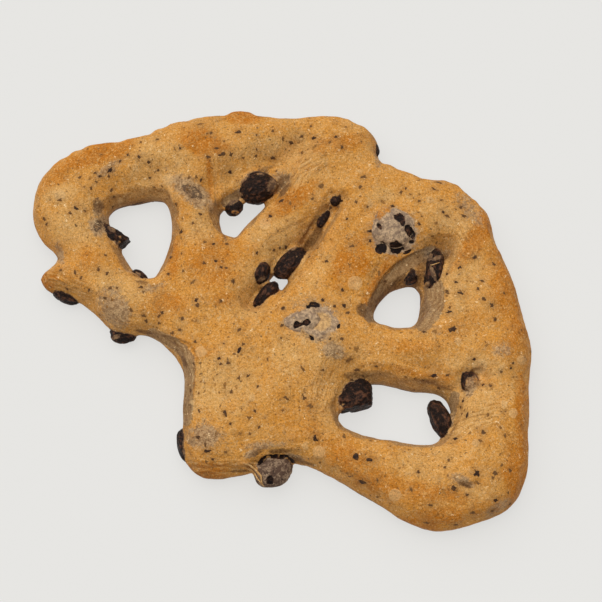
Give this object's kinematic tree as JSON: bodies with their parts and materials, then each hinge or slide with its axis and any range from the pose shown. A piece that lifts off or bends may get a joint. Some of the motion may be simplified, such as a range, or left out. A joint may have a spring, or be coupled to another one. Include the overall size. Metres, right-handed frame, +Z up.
{
  "type": "olive fougasse",
  "caption": "Flat leaf-shaped loaf with slashed openings and black olives baked into its crust, lying on its flat base.",
  "frame": {"origin": "middle of the loaf's outline, on the surface that it lies on", "axes": "+Z up out of the crust, +X along the loaf's long side, +Y away from the viewer of its broad foot"},
  "size_m": [0.2561, 0.2262, 0.0269],
  "materials": {
    "crust": "dry baked crust, golden brown, lightly floured",
    "olive": "wrinkled black olive skin, dull satin",
    "olive_dusted": "black olive dusted with baked flour"
  },
  "bodies": {
    "root": {"loaf": "crust", "olive_west_wall": "olive", "olive_west_floor": "olive", "olive_west_tip": "olive", "olive_west_edge": "olive", "olive_north": "olive", "olive_north_small": "olive", "olive_slit_upper": "olive", "olive_slit_left": "olive", "olive_slit_lower": "olive", "olive_slit_sliver": "olive", "olive_slit_end": "olive", "olive_east_wall": "olive", "olive_east_ledge": "olive", "olive_top_dusted": "olive_dusted", "olive_top_covered": "olive", "olive_south_left": "olive", "olive_south_right": "olive", "olive_south_fold": "olive", "olive_foot": "olive_dusted", "olive_corner": "olive", "olive_notch": "olive"}
  },
  "joints": []
}
